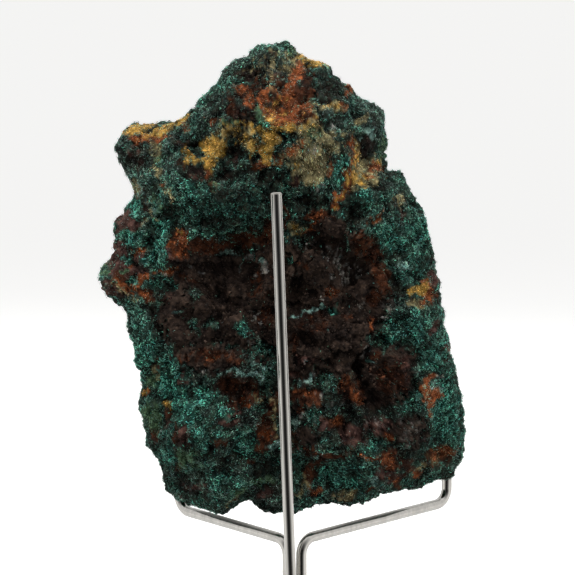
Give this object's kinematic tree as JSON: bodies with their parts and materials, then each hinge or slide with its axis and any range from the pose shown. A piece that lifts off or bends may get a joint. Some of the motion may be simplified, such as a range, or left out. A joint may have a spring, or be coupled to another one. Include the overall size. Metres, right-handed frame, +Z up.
{
  "type": "brochantite specimen",
  "caption": "Rough green brochantite crust on brown limonite, held upright on a three-rod wire stand with a round foot.",
  "frame": {"origin": "centre of the base's flat underside, where the stand rests", "axes": "+Z up, +X to the viewer's right, +Y away from the viewer, who stands on the side of the tall back rod"},
  "size_m": [0.0902, 0.0905, 0.1642],
  "materials": {
    "stone": "dark teal needle felt over chocolate-brown, rust and ochre limonite, matt with fine glints",
    "rod_steel": "drawn stainless wire, satin to bright",
    "base_steel": "turned stainless disc, satin"
  },
  "bodies": {
    "root": {"specimen": "stone", "back_rod": "rod_steel", "left_arm_rod": "rod_steel", "right_arm_rod": "rod_steel", "base": "base_steel"}
  },
  "joints": []
}
